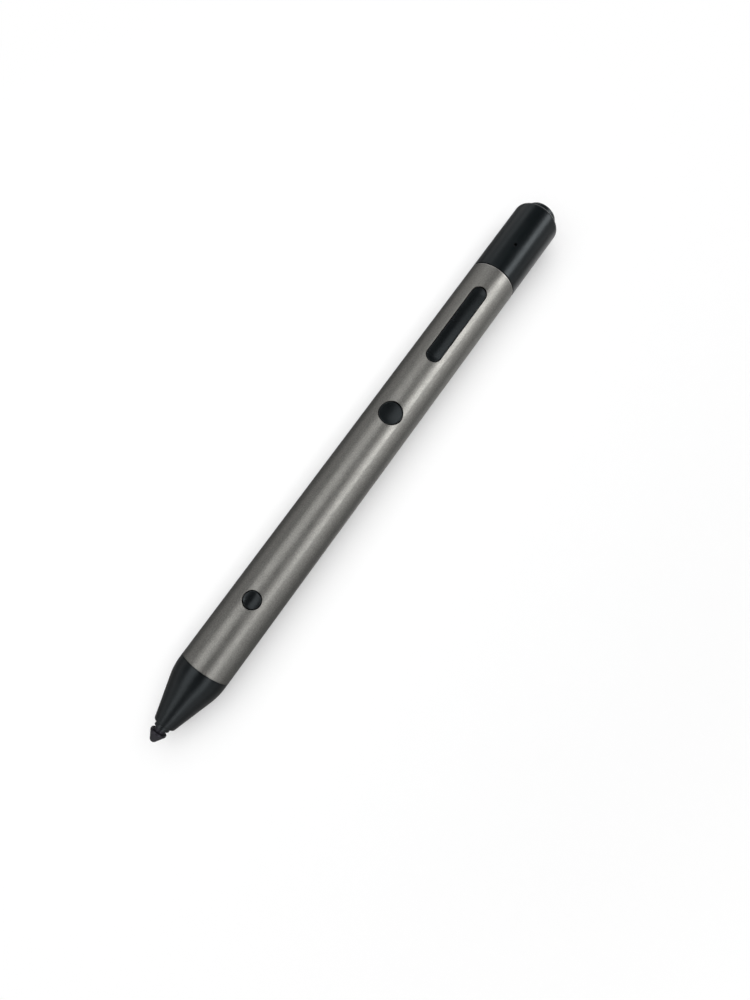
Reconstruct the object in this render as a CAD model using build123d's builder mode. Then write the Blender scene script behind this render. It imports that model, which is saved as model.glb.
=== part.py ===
"""Rechargeable stylus pen: a metal barrel with a plastic nose and a pull-up plastic tail.

The pen lies along X with its nib towards -X and its keys facing +Z. The origin is on the
surface that it lies on, under the middle of its length. All sizes are in millimetres.
"""

import os
from math import atan2, cos, radians, sin, sqrt, tan

from build123d import *

# Clearances
fit_gap = 0.05  # around pieces that plug together and stay
slide_gap = 0.06  # around pieces that slide or turn
seat_gap = 0.1  # between a moving piece at rest and its stop
press_gap = 0.05  # left in front of a switch when its key is fully pressed

# Barrel
barrel_diameter = 10.5
barrel_length = 99.4
barrel_wall = 0.7
barrel_front_break = 0.08
barrel_rear_chamfer = 0.2

# Nose cone
nose_length = 12.85
nose_front_lip = 0.56
nose_corner_station = 2.64
nose_shoulder_round = 10.4
nose_spigot_length = 5.0
nose_spigot_wall = 1.0
nose_edge_round = 0.25
nose_front_wall = 4.2
nose_chamber_length = 4.6
nose_chamber_wall = 0.7

# Nib, the guide that it slides in and the socket that grips it
nib_head_length = 2.0
nib_head_diameter = 3.34
nib_tip_radius = 0.8
nib_cone_angle = 40.0
nib_undercut = 0.15
nib_edge_round = 0.1
nib_shank_diameter = 2.34
nib_shank_show = 0.6
nib_pin_diameter = 1.5
nib_pin_length = 5.0
nib_travel = 0.35
guide_reach = 0.7
guide_wall = 0.34
guide_flange_length = 0.8
guide_edge_round = 0.1
socket_wall = 0.7
socket_back = 2.0
socket_stem_diameter = 1.4
electrode_wall = 0.35

# Pressure sensor behind the nib
sensor_play = 0.2
sensor_length = 5.0
sensor_entry = 1.9

# Inner frame, main board and the screws that hold it
frame_play = 0.15
board_thickness = 0.8
board_side_play = 0.7
board_corner = 0.8
board_front_margin = 2.5
screw_diameter = 1.0
screw_head_diameter = 1.8
screw_head_height = 0.5
screw_length = 2.6
screw_edge = 1.4
front_screw_station = 11.5
rear_screw_gap = 6.0

# Keys: the lower one is placed from the nose's seam, the others from the tail's seam
lower_button_station = 15.75
lower_button_diameter = 3.46
upper_button_station = 38.7
upper_button_diameter = 4.7
rocker_station = 15.3
rocker_length = 19.45
rocker_width = 3.05
key_height = 2.65
key_gap = 0.18
key_lip = 0.5
key_edge_round = 0.15
button_travel = 0.25
rocker_tilt = 1.6

# Switches under the keys
switch_size = 3.0
switch_body_height = 0.8
switch_plunger_diameter = 1.5
switch_plunger_height = 0.3
rocker_switch_end_gap = 2.9

# Rocker pivot
pivot_pin_diameter = 0.8
pivot_lug_wall = 0.3
pivot_lug_inset = 0.4
bracket_plate = 0.3
bracket_ear = 0.6
bracket_length = 2.0

# Cell and the chips on the board
cell_length = 30.0
cell_screw_gap = 2.5
cell_floor_wall = 0.5
cell_headroom = 0.3
cell_edge_round = 0.3
cell_tab_thickness = 0.15
cell_tab_width = 2.0
controller_size = 4.0
controller_height = 0.8
controller_gap = 6.5
radio_length = 6.5
radio_width = 5.0
radio_height = 1.0
radio_corner = 0.4
radio_gap = 8.0

# Tail cap: it pulls back along a sleeve and uncovers the charging socket
tail_cap_length = 17.9
tail_cap_wall = 1.05
tail_cap_end_wall = 1.2
tail_cap_round = 0.8
tail_cap_front_break = 0.08
tail_cap_lip_length = 0.6
tail_rim_step = 0.4
light_hole_diameter = 0.7
light_station = 6.7
light_pipe_sink = 0.25

# Tail sleeve, the ring that stops the cap and the two keys that keep it from turning
sleeve_insert = 4.0
sleeve_play = 0.2
sleeve_wall = 0.7
sleeve_end_wall = 0.8
sleeve_end_land = 0.5
ring_width = 0.5
ring_depth = 0.25
key_groove_width = 1.0
key_groove_depth = 0.35

# Tail button
tail_button_reach = 2.0
tail_button_round = 0.7
tail_button_gap = 0.15
tail_button_flange_length = 1.0
tail_button_stem_length = 1.0
tail_button_stem_diameter = 3.0
tail_button_travel = 0.4

# Charging socket, tail board and ribbon cables
port_width = 8.94
port_thickness = 3.2
port_wall = 0.3
port_back_wall = 0.6
port_station = 1.4
port_sink = 0.4
tongue_width = 6.7
tongue_thickness = 0.7
tongue_inset = 1.0
tail_board_thickness = 0.5
tail_board_station = 0.6
led_length = 1.0
led_width = 0.6
led_height = 0.3
led_headroom = 0.2
antenna_length = 1.6
antenna_width = 1.2
antenna_height = 0.35
ribbon_thickness = 0.15
ribbon_width = 2.4
ribbon_lead = 1.0

# Places along the pen
barrel_radius = barrel_diameter / 2
bore_radius = barrel_radius - barrel_wall
axis_height = barrel_radius
nib_reach = nose_length + guide_reach + nib_shank_show + nib_head_length
overall_length = nib_reach + barrel_length + tail_cap_length + tail_button_reach
tip_x = -overall_length / 2
nose_seam_x = tip_x + nib_reach
nose_front_x = nose_seam_x - nose_length
tail_seam_x = nose_seam_x + barrel_length
tail_rim_x = tail_seam_x + tail_cap_length
lower_button_x = nose_seam_x + lower_button_station
upper_button_x = tail_seam_x - upper_button_station
rocker_x = tail_seam_x - rocker_station
light_x = tail_seam_x + light_station

# Heights above the pen's axis, from the barrel's outside down to the frame's deck
button_floor = barrel_radius - key_height
switch_top = button_floor - button_travel - press_gap
board_top = switch_top - switch_plunger_height - switch_body_height
frame_deck = board_top - board_thickness
tilt_slope = tan(radians(rocker_tilt))
rocker_switch_spacing = rocker_length - 2 * rocker_switch_end_gap
rocker_press = tilt_slope * (rocker_switch_spacing + switch_plunger_diameter) / 2
rocker_floor = switch_top + rocker_press + press_gap

pen_axis = Axis((0, 0, axis_height), (1, 0, 0))
long_section = Plane(origin=(0, 0, axis_height), x_dir=(1, 0, 0), z_dir=(0, -1, 0))


def cross_section(x):
    """The plane square to the pen at x, centred on the pen's axis, with its y upwards."""
    return Plane(origin=(x, 0, axis_height), x_dir=(0, 1, 0), z_dir=(1, 0, 0))


def level(height):
    """The level plane at a height above the pen's axis."""
    return Plane.XY.offset(axis_height + height)


def turned(*outline):
    """A piece turned about the pen's axis from a closed outline of (x, radius) points."""
    with BuildPart() as piece:
        with BuildSketch(long_section):
            with BuildLine():
                Polyline(*outline, close=True)
            make_face()
        revolve(axis=pen_axis)
    return piece


def block(x, length, width, bottom, height):
    """A plain block on the pen's middle plane, such as a chip or a small board."""
    with BuildPart() as piece:
        with BuildSketch(level(bottom)):
            with Locations((x, 0)):
                Rectangle(length, width)
        extrude(amount=height)
    return piece


def key_outline(length, width, grow):
    """The outline of a key, round or long, made larger all round by grow."""
    if length > width:
        SlotOverall(length + 2 * grow, width + 2 * grow)
    else:
        Circle(width / 2 + grow)


def write(piece, name):
    """Labels one finished piece and writes its file."""
    piece.part.label = name
    export_step(piece.part, f"parts/{name}.step")


os.makedirs("parts", exist_ok=True)

# Barrel: a thin tube with three key openings cut straight down through its top
with BuildPart() as barrel:
    with BuildSketch(cross_section(nose_seam_x)):
        Circle(barrel_radius)
        Circle(bore_radius, mode=Mode.SUBTRACT)
    extrude(amount=barrel_length)
    front_rim, rear_rim = (
        barrel.edges().filter_by(GeomType.CIRCLE).group_by(SortBy.RADIUS)[-1].sort_by(Axis.X)
    )
    chamfer(front_rim, barrel_front_break)
    chamfer(rear_rim, barrel_rear_chamfer)
    with BuildSketch(level(0)):
        with Locations((lower_button_x, 0)):
            key_outline(lower_button_diameter, lower_button_diameter, key_gap)
        with Locations((upper_button_x, 0)):
            key_outline(upper_button_diameter, upper_button_diameter, key_gap)
        with Locations((rocker_x, 0)):
            key_outline(rocker_length, rocker_width, key_gap)
    extrude(amount=barrel_diameter, mode=Mode.SUBTRACT)
write(barrel, "barrel")

# Nose cone: a straight taper that rounds into the barrel, hollow, with a spigot in the bore
guide_bore_radius = nib_shank_diameter / 2 + slide_gap
guide_radius = guide_bore_radius + guide_wall
nose_front_radius = guide_radius + fit_gap + nose_front_lip
corner_x = nose_seam_x - nose_corner_station
cone_angle = atan2(barrel_radius - nose_front_radius, corner_x - nose_front_x)
chamber_front_x = nose_front_x + nose_front_wall
chamber_rear_x = chamber_front_x + nose_chamber_length
chamber_radius = (
    nose_front_radius + nose_front_wall * tan(cone_angle) - nose_chamber_wall / cos(cone_angle)
)
spigot_radius = bore_radius - fit_gap
spigot_bore_radius = spigot_radius - nose_spigot_wall
spigot_rear_x = nose_seam_x + nose_spigot_length
with BuildPart() as nose_cone:
    add(
        turned(
            (nose_front_x, guide_radius + fit_gap),
            (nose_front_x, nose_front_radius),
            (corner_x, barrel_radius),
            (nose_seam_x, barrel_radius),
            (nose_seam_x, spigot_radius),
            (spigot_rear_x, spigot_radius),
            (spigot_rear_x, spigot_bore_radius),
            (chamber_rear_x, spigot_bore_radius),
            (chamber_rear_x, chamber_radius),
            (chamber_front_x, chamber_radius),
            (chamber_front_x, guide_radius + fit_gap),
        ).part
    )
    widest_rims = nose_cone.edges().filter_by(GeomType.CIRCLE).group_by(SortBy.RADIUS)[-1]
    fillet(widest_rims.sort_by(Axis.X)[0], nose_shoulder_round)
    fillet(nose_cone.faces().sort_by(Axis.X)[0].edges().sort_by(SortBy.RADIUS)[-1], nose_edge_round)
write(nose_cone, "nose_cone")

# Guide: a flanged bush whose collar stands out of the nose around the nib's shank
guide_front_x = nose_front_x - guide_reach
guide_rear_x = chamber_front_x + guide_flange_length
liner_radius = chamber_radius - fit_gap
with BuildPart() as nib_guide:
    add(
        turned(
            (guide_front_x, guide_bore_radius),
            (guide_front_x, guide_radius),
            (chamber_front_x, guide_radius),
            (chamber_front_x, liner_radius),
            (guide_rear_x, liner_radius),
            (guide_rear_x, guide_bore_radius),
        ).part
    )
    fillet(nib_guide.faces().sort_by(Axis.X)[0].edges().sort_by(SortBy.RADIUS)[-1], guide_edge_round)
write(nib_guide, "nib_guide")

# Ring electrode: a metal liner that fills the nose's chamber behind the guide
ring_electrode = turned(
    (guide_rear_x, liner_radius - electrode_wall),
    (guide_rear_x, liner_radius),
    (chamber_rear_x, liner_radius),
    (chamber_rear_x, liner_radius - electrode_wall),
)
write(ring_electrode, "ring_electrode")

# Nib: a round-tipped cone with a barbed back, on a shank that ends in a pin
tip_angle = radians(nib_cone_angle)
head_radius = nib_head_diameter / 2
shank_radius = nib_shank_diameter / 2
pin_radius = nib_pin_diameter / 2
cone_start_x = tip_x + nib_tip_radius * (1 - sin(tip_angle))
cone_start_radius = nib_tip_radius * cos(tip_angle)
flare_x = cone_start_x + (head_radius - cone_start_radius) / tan(tip_angle)
head_back_x = tip_x + nib_head_length
pin_rear_x = guide_rear_x + nib_pin_length
with BuildPart() as nib:
    with BuildSketch(long_section):
        with BuildLine():
            dome = RadiusArc((tip_x, 0), (cone_start_x, cone_start_radius), nib_tip_radius)
            Polyline(
                dome @ 1,
                (flare_x, head_radius),
                (head_back_x, head_radius),
                (head_back_x - nib_undercut, shank_radius),
                (guide_rear_x, shank_radius),
                (guide_rear_x, pin_radius),
                (pin_rear_x, pin_radius),
                (pin_rear_x, 0),
                dome @ 0,
            )
        make_face()
    revolve(axis=pen_axis)
    fillet(nib.edges().filter_by(GeomType.CIRCLE).group_by(SortBy.RADIUS)[-1], nib_edge_round)
write(nib, "nib")

# Nib socket: the sleeve that grips the nib's pin, with a stem that reaches into the sensor
sensor_front_x = spigot_rear_x - sensor_length
socket_front_x = guide_rear_x + seat_gap
socket_floor_x = pin_rear_x + fit_gap
socket_rear_x = socket_floor_x + socket_back
socket_bore_radius = pin_radius + fit_gap
stem_radius = socket_stem_diameter / 2
stem_end_x = sensor_front_x + sensor_entry
nib_socket = turned(
    (socket_front_x, socket_bore_radius),
    (socket_front_x, socket_bore_radius + socket_wall),
    (socket_rear_x, socket_bore_radius + socket_wall),
    (socket_rear_x, stem_radius),
    (stem_end_x, stem_radius),
    (stem_end_x, 0),
    (socket_floor_x, 0),
    (socket_floor_x, socket_bore_radius),
)
write(nib_socket, "nib_socket")

# Pressure sensor: a can inside the nose's spigot, whose blind bore takes the socket's stem
sensor_floor_x = stem_end_x + nib_travel + seat_gap
sensor_radius = spigot_bore_radius - sensor_play
pressure_sensor = turned(
    (sensor_front_x, stem_radius + slide_gap),
    (sensor_front_x, sensor_radius),
    (spigot_rear_x, sensor_radius),
    (spigot_rear_x, 0),
    (sensor_floor_x, 0),
    (sensor_floor_x, stem_radius + slide_gap),
)
write(pressure_sensor, "pressure_sensor")

# Inner frame: a half-round tray between nose and tail sleeve, with a deck and a cell trough
frame_front_x = spigot_rear_x
frame_rear_x = tail_seam_x - sleeve_insert
frame_radius = bore_radius - frame_play
board_half_width = sqrt(bore_radius**2 - board_top**2) - board_side_play
screw_rows = [nose_seam_x + front_screw_station, upper_button_x + rear_screw_gap]
screw_spots = [(x, side * (board_half_width - screw_edge)) for x in screw_rows for side in (-1, 1)]
cell_front_x = screw_rows[0] + cell_screw_gap
cell_radius = (frame_radius + frame_deck - cell_floor_wall - cell_headroom) / 2
cell_height = frame_deck - cell_headroom - cell_radius
trough_margin = cell_tab_thickness + fit_gap
with BuildPart() as inner_frame:
    with BuildSketch(cross_section(frame_front_x)):
        Circle(frame_radius)
        with Locations((0, frame_deck)):
            Rectangle(
                2 * frame_radius, 2 * frame_radius, align=(Align.CENTER, Align.MIN), mode=Mode.SUBTRACT
            )
    extrude(amount=frame_rear_x - frame_front_x)
    with BuildSketch(cross_section(cell_front_x - trough_margin)):
        with Locations((0, cell_height)):
            Circle(cell_radius + fit_gap)
            Rectangle(
                2 * (cell_radius + fit_gap),
                frame_deck - cell_height,
                align=(Align.CENTER, Align.MIN),
            )
    extrude(amount=cell_length + 2 * trough_margin, mode=Mode.SUBTRACT)
    with Locations(level(frame_deck)):
        with Locations(*screw_spots):
            Hole(screw_diameter / 2 + fit_gap, screw_length - board_thickness + fit_gap)
write(inner_frame, "inner_frame")

# Cell: a slim round rechargeable cell in the frame's trough
with BuildPart() as battery_cell:
    with BuildSketch(cross_section(cell_front_x)):
        with Locations((0, cell_height)):
            Circle(cell_radius)
    extrude(amount=cell_length)
    fillet(battery_cell.edges().filter_by(GeomType.CIRCLE), cell_edge_round)
write(battery_cell, "battery_cell")

# Cell tabs: the two strips that join the cell's ends to the board above
with BuildPart() as cell_tabs:
    for tab_x in (cell_front_x - cell_tab_thickness, cell_front_x + cell_length):
        with BuildSketch(cross_section(tab_x)):
            with Locations((0, cell_height)):
                Rectangle(cell_tab_width, frame_deck - cell_height, align=(Align.CENTER, Align.MIN))
        extrude(amount=cell_tab_thickness)
write(cell_tabs, "cell_tabs")

# Main board: a narrow circuit board on the frame's deck
board_front_x = frame_front_x + board_front_margin
with BuildPart() as main_board:
    with BuildSketch(level(frame_deck)):
        with Locations(((board_front_x + frame_rear_x) / 2, 0)):
            RectangleRounded(frame_rear_x - board_front_x, 2 * board_half_width, board_corner)
    extrude(amount=board_thickness)
    with Locations(level(board_top)):
        with Locations(*screw_spots):
            Hole(screw_diameter / 2 + fit_gap)
write(main_board, "main_board")

# Board screws: four short screws through the board into the frame
with BuildPart() as board_screws:
    with BuildSketch(level(board_top)):
        with Locations(*screw_spots):
            Circle(screw_head_diameter / 2)
    extrude(amount=screw_head_height)
    with BuildSketch(level(board_top)):
        with Locations(*screw_spots):
            Circle(screw_diameter / 2)
    extrude(amount=-screw_length)
write(board_screws, "board_screws")

# Chips: the controller and the shielded radio on the board
controller_x = lower_button_x + controller_gap
radio_x = upper_button_x - radio_gap
write(
    block(controller_x, controller_size, controller_size, board_top, controller_height),
    "controller_chip",
)
with BuildPart() as radio_module:
    with BuildSketch(level(board_top)):
        with Locations((radio_x, 0)):
            RectangleRounded(radio_length, radio_width, radio_corner)
    extrude(amount=radio_height)
write(radio_module, "radio_module")


def switch(base):
    """A low tact switch that stands on a plane: a square body under a round plunger."""
    with BuildPart() as piece:
        with BuildSketch(base):
            Rectangle(switch_size, switch_size)
        extrude(amount=switch_body_height)
        with BuildSketch(base.offset(switch_body_height)):
            Circle(switch_plunger_diameter / 2)
        extrude(amount=switch_plunger_height)
    return piece


def board_spot(x):
    """The plane on the main board's top under a key at x."""
    return level(board_top).move(Location((x, 0, 0)))


write(switch(board_spot(lower_button_x)), "lower_switch")
write(switch(board_spot(upper_button_x)), "upper_switch")
write(switch(board_spot(rocker_x - rocker_switch_spacing / 2)), "rocker_front_switch")
write(switch(board_spot(rocker_x + rocker_switch_spacing / 2)), "rocker_rear_switch")

# The space around the barrel, where every key's top ends
with BuildPart() as outside:
    with BuildSketch(cross_section(nose_seam_x)):
        Circle(barrel_diameter)
        Circle(barrel_radius, mode=Mode.SUBTRACT)
    extrude(amount=barrel_length)


def key(x, length, width, floor, lip_play):
    """A key whose top follows the barrel, with a lip that keeps it under the barrel's wall."""
    with BuildPart() as piece:
        with BuildSketch(level(floor)):
            with Locations((x, 0)):
                key_outline(length, width, key_lip)
        extrude(amount=barrel_radius)
        with BuildSketch(cross_section(x - length)):
            Circle(bore_radius - lip_play)
        extrude(amount=2 * length, mode=Mode.INTERSECT)
        with BuildSketch(level(floor)):
            with Locations((x, 0)):
                key_outline(length, width, 0)
        extrude(until=Until.NEXT, target=outside.part)
        fillet(piece.faces().sort_by(Axis.Z)[-1].edges(), key_edge_round)
    return piece


lower_button = key(lower_button_x, lower_button_diameter, lower_button_diameter, button_floor, seat_gap)
write(lower_button, "lower_button")
upper_button = key(upper_button_x, upper_button_diameter, upper_button_diameter, button_floor, seat_gap)
write(upper_button, "upper_button")

# Rocker: a long key with a lug for its pin, notched on both sides for the bracket's ears
pivot_lug_width = rocker_width - 2 * pivot_lug_inset
lug_radius = pivot_pin_diameter / 2 + slide_gap + pivot_lug_wall
pivot_height = board_top + bracket_plate + seat_gap + lug_radius
ear_inner = pivot_lug_width / 2 + seat_gap
ear_outer = ear_inner + bracket_ear
rocker_lip_play = seat_gap + tilt_slope * (rocker_length / 2 + key_lip)
notch_length = bracket_length + 2 * rocker_lip_play
notch_top = pivot_height + lug_radius + rocker_lip_play
with BuildPart() as rocker:
    add(key(rocker_x, rocker_length, rocker_width, rocker_floor, rocker_lip_play).part)
    with BuildSketch(level(rocker_floor)):
        for side in (-1, 1):
            with Locations((rocker_x, side * (pivot_lug_width / 2 + bore_radius))):
                Rectangle(notch_length, 2 * bore_radius)
    extrude(amount=notch_top - rocker_floor, mode=Mode.SUBTRACT)
    with BuildSketch(long_section.offset(-pivot_lug_width / 2)):
        with Locations((rocker_x, pivot_height)):
            Circle(lug_radius)
            Rectangle(2 * lug_radius, 2 * lug_radius, align=(Align.CENTER, Align.MIN))
    extrude(amount=pivot_lug_width)
    with BuildSketch(long_section):
        with Locations((rocker_x, pivot_height)):
            Circle(pivot_pin_diameter / 2 + slide_gap)
    extrude(amount=bore_radius, both=True, mode=Mode.SUBTRACT)
write(rocker, "rocker")

# Rocker bracket: a bent plate on the board with an ear on each side for the pin
with BuildPart() as rocker_bracket:
    with BuildSketch(level(board_top)):
        with Locations((rocker_x, 0)):
            Rectangle(bracket_length, 2 * ear_outer)
    extrude(amount=bracket_plate)
    for ear_plane in (long_section.offset(ear_inner), long_section.offset(-ear_outer)):
        with BuildSketch(ear_plane):
            with Locations((rocker_x, board_top)):
                Rectangle(bracket_length, pivot_height - board_top, align=(Align.CENTER, Align.MIN))
            with Locations((rocker_x, pivot_height)):
                Circle(lug_radius)
        extrude(amount=bracket_ear)
    with BuildSketch(long_section):
        with Locations((rocker_x, pivot_height)):
            Circle(pivot_pin_diameter / 2 + fit_gap)
    extrude(amount=bore_radius, both=True, mode=Mode.SUBTRACT)
write(rocker_bracket, "rocker_bracket")

# Rocker pin: a plain pin through the bracket's ears and the rocker's lug
with BuildPart() as rocker_pin:
    with BuildSketch(long_section):
        with Locations((rocker_x, pivot_height)):
            Circle(pivot_pin_diameter / 2)
    extrude(amount=ear_outer, both=True)
write(rocker_pin, "rocker_pin")

# Tail stack: cap, button, switch and sleeve, each placed from the one behind it
cap_bore_radius = barrel_radius - tail_cap_wall
cap_hole_radius = cap_bore_radius - tail_rim_step
cap_front_x = tail_seam_x + fit_gap
cap_floor_x = tail_rim_x - tail_cap_end_wall
flange_rear_x = cap_floor_x - seat_gap
flange_front_x = flange_rear_x - tail_button_flange_length
stem_front_x = flange_front_x - tail_button_stem_length
tail_switch_x = (
    stem_front_x - tail_button_travel - press_gap - switch_plunger_height - switch_body_height
)
sleeve_radius = cap_bore_radius - sleeve_play
sleeve_bore_radius = sleeve_radius - sleeve_wall
sleeve_floor_x = tail_switch_x - sleeve_end_wall
groove_rear_x = tail_switch_x - sleeve_end_land
groove_front_x = groove_rear_x - ring_width - 2 * fit_gap
groove_radius = sleeve_radius - ring_depth
key_bottom = sleeve_radius - key_groove_depth

# Tail cap: a round-edged cup with a keyed lip that slides on the sleeve, and two holes
cap_lip_radius = sleeve_radius + slide_gap
with BuildPart() as tail_cap:
    add(
        turned(
            (cap_front_x, cap_lip_radius),
            (cap_front_x, barrel_radius),
            (tail_rim_x, barrel_radius),
            (tail_rim_x, cap_hole_radius),
            (cap_floor_x, cap_hole_radius),
            (cap_floor_x, cap_bore_radius),
            (cap_front_x + tail_cap_lip_length, cap_bore_radius),
            (cap_front_x + tail_cap_lip_length, cap_lip_radius),
        ).part
    )
    cap_front_rim, cap_rear_rim = (
        tail_cap.edges().filter_by(GeomType.CIRCLE).group_by(SortBy.RADIUS)[-1].sort_by(Axis.X)
    )
    fillet(cap_rear_rim, tail_cap_round)
    chamfer(cap_front_rim, tail_cap_front_break)
    with BuildSketch(cross_section(cap_front_x)):
        with PolarLocations(key_bottom + slide_gap, 2):
            Rectangle(
                cap_bore_radius - key_bottom,
                key_groove_width - 2 * slide_gap,
                align=(Align.MIN, Align.CENTER),
            )
    extrude(amount=tail_cap_lip_length)
    with BuildSketch(level(0)):
        with Locations((light_x, 0)):
            Circle(light_hole_diameter / 2)
    extrude(amount=barrel_diameter, mode=Mode.SUBTRACT)
write(tail_cap, "tail_cap")

# Light pipe: a clear pin in the cap's light hole, sunk just under the surface
with BuildPart() as light_pipe:
    with BuildSketch(level(cap_bore_radius)):
        with Locations((light_x, 0)):
            Circle(light_hole_diameter / 2 - fit_gap)
    extrude(amount=tail_cap_wall - light_pipe_sink)
write(light_pipe, "light_pipe")

# Tail button: a round-edged plunger, flanged inside the cap, with a stem towards its switch
tail_button_radius = cap_hole_radius - tail_button_gap
with BuildPart() as tail_button:
    add(
        turned(
            (stem_front_x, 0),
            (stem_front_x, tail_button_stem_diameter / 2),
            (flange_front_x, tail_button_stem_diameter / 2),
            (flange_front_x, cap_bore_radius - seat_gap),
            (flange_rear_x, cap_bore_radius - seat_gap),
            (flange_rear_x, tail_button_radius),
            (tail_rim_x + tail_button_reach, tail_button_radius),
            (tail_rim_x + tail_button_reach, 0),
        ).part
    )
    fillet(tail_button.faces().sort_by(Axis.X)[-1].edges(), tail_button_round)
write(tail_button, "tail_button")

# Tail switch: it stands on the sleeve's end wall and faces the tail button
write(switch(cross_section(tail_switch_x)), "tail_switch")

# Tail sleeve: fixed in the barrel's end, it guides the cap and holds the charging socket
port_x = tail_seam_x + port_station + port_width / 2
with BuildPart() as tail_sleeve:
    add(
        turned(
            (frame_rear_x, sleeve_bore_radius),
            (frame_rear_x, bore_radius - fit_gap),
            (tail_seam_x, bore_radius - fit_gap),
            (tail_seam_x, sleeve_radius),
            (groove_front_x, sleeve_radius),
            (groove_front_x, groove_radius),
            (groove_rear_x, groove_radius),
            (groove_rear_x, sleeve_radius),
            (tail_switch_x, sleeve_radius),
            (tail_switch_x, 0),
            (sleeve_floor_x, 0),
            (sleeve_floor_x, sleeve_bore_radius),
        ).part
    )
    with BuildSketch(cross_section(tail_seam_x)):
        with PolarLocations(key_bottom, 2):
            Rectangle(barrel_radius, key_groove_width, align=(Align.MIN, Align.CENTER))
    extrude(amount=groove_front_x - tail_seam_x, mode=Mode.SUBTRACT)
    with BuildSketch(level(0)):
        with Locations((port_x, 0)):
            SlotOverall(port_width + 2 * fit_gap, port_thickness + 2 * fit_gap)
    extrude(amount=-barrel_radius, mode=Mode.SUBTRACT)
    with BuildSketch(level(0)):
        with Locations((light_x, 0)):
            Circle(light_hole_diameter / 2)
    extrude(amount=barrel_radius, mode=Mode.SUBTRACT)
write(tail_sleeve, "tail_sleeve")

# Retaining ring: a split ring in the sleeve's groove that stops the cap's lip at full pull
with BuildPart() as retaining_ring:
    with BuildSketch(cross_section(groove_front_x + fit_gap)):
        Circle(cap_bore_radius - fit_gap)
        Circle(groove_radius + fit_gap, mode=Mode.SUBTRACT)
        Rectangle(ring_width, barrel_radius, align=(Align.CENTER, Align.MIN), mode=Mode.SUBTRACT)
    extrude(amount=ring_width)
write(retaining_ring, "retaining_ring")

# Tail board: it lies on the socket's back and carries the status light and the aerial
tail_board_top = sleeve_bore_radius - led_headroom - led_height
tail_board_bottom = tail_board_top - tail_board_thickness
tail_board_width = 2 * (sqrt(sleeve_bore_radius**2 - tail_board_top**2) - fit_gap)
tail_board_front_x = tail_seam_x + tail_board_station
tail_board_length = sleeve_floor_x - tail_board_front_x
write(
    block(
        tail_board_front_x + tail_board_length / 2,
        tail_board_length,
        tail_board_width,
        tail_board_bottom,
        tail_board_thickness,
    ),
    "tail_board",
)
write(block(light_x, led_length, led_width, tail_board_top, led_height), "status_led")
write(
    block(
        sleeve_floor_x - seat_gap - antenna_length / 2,
        antenna_length,
        antenna_width,
        tail_board_top,
        antenna_height,
    ),
    "antenna",
)

# Charging socket: a drawn shell open downwards, and the contact tongue inside it
port_mouth = port_sink - sleeve_radius
port_depth = tail_board_bottom - port_mouth
with BuildPart() as charge_port_shell:
    with BuildSketch(level(port_mouth)):
        with Locations((port_x, 0)):
            SlotOverall(port_width, port_thickness)
    extrude(amount=port_depth)
    with BuildSketch(level(port_mouth)):
        with Locations((port_x, 0)):
            SlotOverall(port_width - 2 * port_wall, port_thickness - 2 * port_wall)
    extrude(amount=port_depth - port_back_wall, mode=Mode.SUBTRACT)
write(charge_port_shell, "charge_port_shell")
write(
    block(
        port_x,
        tongue_width,
        tongue_thickness,
        port_mouth + tongue_inset,
        port_depth - port_back_wall - tongue_inset,
    ),
    "charge_port_tongue",
)

# Sensor ribbon: a flat cable on the frame's deck, from the sensor to the board
write(
    block(
        (frame_front_x + board_front_x) / 2,
        board_front_margin,
        ribbon_width,
        frame_deck,
        ribbon_thickness,
    ),
    "sensor_ribbon",
)

# Tail ribbon: a flat cable that climbs from the main board to the tail board
main_end = frame_deck + (board_thickness - ribbon_thickness) / 2
tail_end = tail_board_bottom + (tail_board_thickness - ribbon_thickness) / 2
ribbon_route = [
    (frame_rear_x, main_end),
    (frame_rear_x + ribbon_lead, main_end),
    (tail_board_front_x - ribbon_lead, tail_end),
    (tail_board_front_x, tail_end),
]
ribbon_upper_side = [(x, height + ribbon_thickness) for x, height in reversed(ribbon_route)]
with BuildPart() as tail_ribbon:
    with BuildSketch(long_section):
        with BuildLine():
            Polyline(*ribbon_route, *ribbon_upper_side, close=True)
        make_face()
    extrude(amount=ribbon_width / 2, both=True)
write(tail_ribbon, "tail_ribbon")
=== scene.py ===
"""Stylus pen: turned pieces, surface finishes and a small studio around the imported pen.

The script is laid out as an add-on. Each operator makes or dresses one piece, or one group of like
pieces, and the panel in the sidebar lists them in order. Sizes are in metres, in the pen's own
frame: X runs along the pen from the nib to the tail, and Z points up through the keys.
"""

from math import atan2, cos, hypot, pi, radians, sin, sqrt, tan

import bmesh
import bpy
from bpy.props import FloatProperty, FloatVectorProperty, PointerProperty
from mathutils import Euler, Matrix, Vector


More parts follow.
